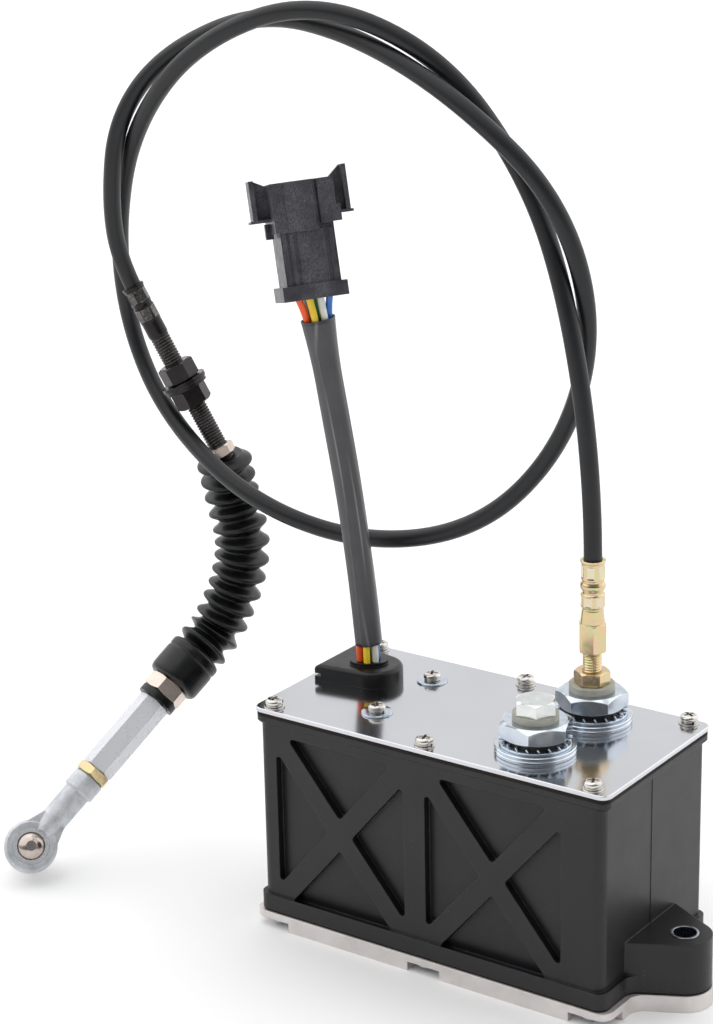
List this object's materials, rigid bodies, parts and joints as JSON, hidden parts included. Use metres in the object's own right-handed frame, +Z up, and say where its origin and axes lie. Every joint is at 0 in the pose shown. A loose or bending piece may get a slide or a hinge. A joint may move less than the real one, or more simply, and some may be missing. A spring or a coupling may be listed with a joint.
{
  "type": "engine governor actuator",
  "caption": "Ribbed metal box with a geared motor inside, a steel cover with threaded cable outlets, a looped push-pull cable ending in a rod end, and a sleeved wire harness.",
  "frame": {"origin": "centre of the base plate's underside, on the mounting face", "axes": "+X along the case towards the cable outlets, +Y to the back, +Z up through the cover"},
  "size_m": [0.3624, 0.1633, 0.431],
  "materials": {
    "case_paint": "satin black coating on a die-cast case",
    "cast_aluminium": "plain cast, light grey",
    "cover_steel": "polished, near mirror",
    "gasket": "matt dark brown",
    "screw_nickel": "nickel plated",
    "zinc": "bright zinc plated",
    "zinc_pale": "pale zinc plated",
    "zinc_yellow": "yellow zinc plated",
    "seal_grey": "matt grey",
    "rubber": "matt black",
    "sleeve": "dark grey tubing",
    "conduit": "satin black jacket",
    "wire_orange": "satin",
    "wire_yellow": "satin",
    "wire_green": "satin",
    "wire_white": "satin",
    "wire_grey": "satin",
    "wire_black": "satin",
    "wire_blue": "satin",
    "connector": "fine matt black",
    "contact": "plated",
    "black_steel": "black finish",
    "bronze": "dull bronze",
    "machined_aluminium": "white satin",
    "cast_zinc": "plain die-cast grey",
    "ball_nickel": "polished",
    "steel": "ground",
    "gear_brass": "machined",
    "motor_steel": "drawn steel",
    "armature": "laminations and windings",
    "sensor": "moulded"
  },
  "bodies": {
    "motor_rotor": {"motor_armature": "armature"},
    "idler": {"idler_gear": "gear_brass"},
    "output": {"output_shaft": "steel", "output_gear": "gear_brass", "rack_pinion": "steel"},
    "front_slide": {"front_rack": "steel"},
    "rear_slide": {"rear_rack": "steel"},
    "end_rod": {"rod_lock_nut": "bronze", "rod_seal_washer": "rubber", "coupler": "machined_aluminium", "rod_jam_nut": "zinc_yellow", "rod_end_body": "cast_zinc", "rod_end_seat": "steel"},
    "ball": {"ball_stud": "ball_nickel"},
    "housing": {"base_plate": "cast_aluminium", "base_gasket": "gasket", "base_screws": "zinc", "case_body": "case_paint", "ear_bushes": "zinc", "cover_gasket": "gasket", "cover_plate": "cover_steel", "cover_screws": "screw_nickel", "screw_lock_washers": "screw_nickel", "screw_flat_washers": "screw_nickel", "frame_screw_washers": "zinc", "wire_grommet": "rubber", "harness_sleeve": "sleeve", "wire_orange": "wire_orange", "wire_yellow": "wire_yellow", "wire_green": "wire_green", "wire_white": "wire_white", "wire_grey": "wire_grey", "wire_black": "wire_black", "wire_blue": "wire_blue", "connector_housing": "connector", "connector_seal": "rubber", "connector_pins": "contact", "outlet_bushes": "steel", "outlet_washers": "zinc", "outlet_lock_washers": "zinc", "outlet_seal_rings": "rubber", "outlet_nuts": "zinc", "plug_seal_washer": "seal_grey", "plug_bolt": "zinc_pale", "fitting_seal_washer": "seal_grey", "fitting_jam_nut": "zinc_yellow", "cable_fitting": "zinc_yellow", "conduit": "conduit", "cable_end_tube": "black_steel", "mounting_nuts": "black_steel", "mounting_washers": "black_steel", "bellows_nut": "bronze", "bellows": "rubber", "core_wire": "steel", "gear_frame": "cast_aluminium", "shaft_bushes": "gear_brass", "motor_can": "motor_steel", "motor_end_cap": "connector", "motor_screws": "steel", "position_sensor": "sensor"}
  },
  "joints": [
    {"name": "output_turn", "type": "hinge", "parent": "housing", "child": "output", "pos_m": [0.0444, 0, 0.053], "axis": [-1, 0, 0], "range_deg": [0, 106.95]},
    {"name": "rear_rack_slide", "type": "slide", "parent": "housing", "child": "rear_slide", "axis": [0, 0, -1], "range_m": [0, 0.028]},
    {"name": "front_rack_slide", "type": "slide", "parent": "housing", "child": "front_slide", "axis": [0, 0, 1], "range_m": [0, 0.028]},
    {"name": "end_rod_slide", "type": "slide", "parent": "housing", "child": "end_rod", "axis": [0.2473, 0.7581, 0.6034], "range_m": [0, 0.028], "deforming": ["bellows", "core_wire"]},
    {"name": "idler_spin", "type": "hinge", "parent": "housing", "child": "idler", "pos_m": [0, 0, 0.0778], "axis": [1, 0, 0], "range_deg": [0, 445.64]},
    {"name": "motor_spin", "type": "hinge", "parent": "housing", "child": "motor_rotor", "pos_m": [-0.04, 0, 0.053], "axis": [-1, 0, 0], "range_deg": [0, 1856.83]},
    {"name": "ball_swivel", "type": "hinge", "parent": "end_rod", "child": "ball", "pos_m": [-0.21795, -0.073, 0.01805], "axis": [-0.6388, 0.5958, -0.4868], "continuous": true}
  ],
  "couplings": [
    {"joint": "rear_rack_slide", "follows": "output_turn", "m_per_rad": 0.015},
    {"joint": "front_rack_slide", "follows": "output_turn", "m_per_rad": 0.015},
    {"joint": "end_rod_slide", "follows": "output_turn", "m_per_rad": 0.015},
    {"joint": "idler_spin", "follows": "output_turn", "ratio": 4.1667},
    {"joint": "motor_spin", "follows": "output_turn", "ratio": 17.361}
  ]
}
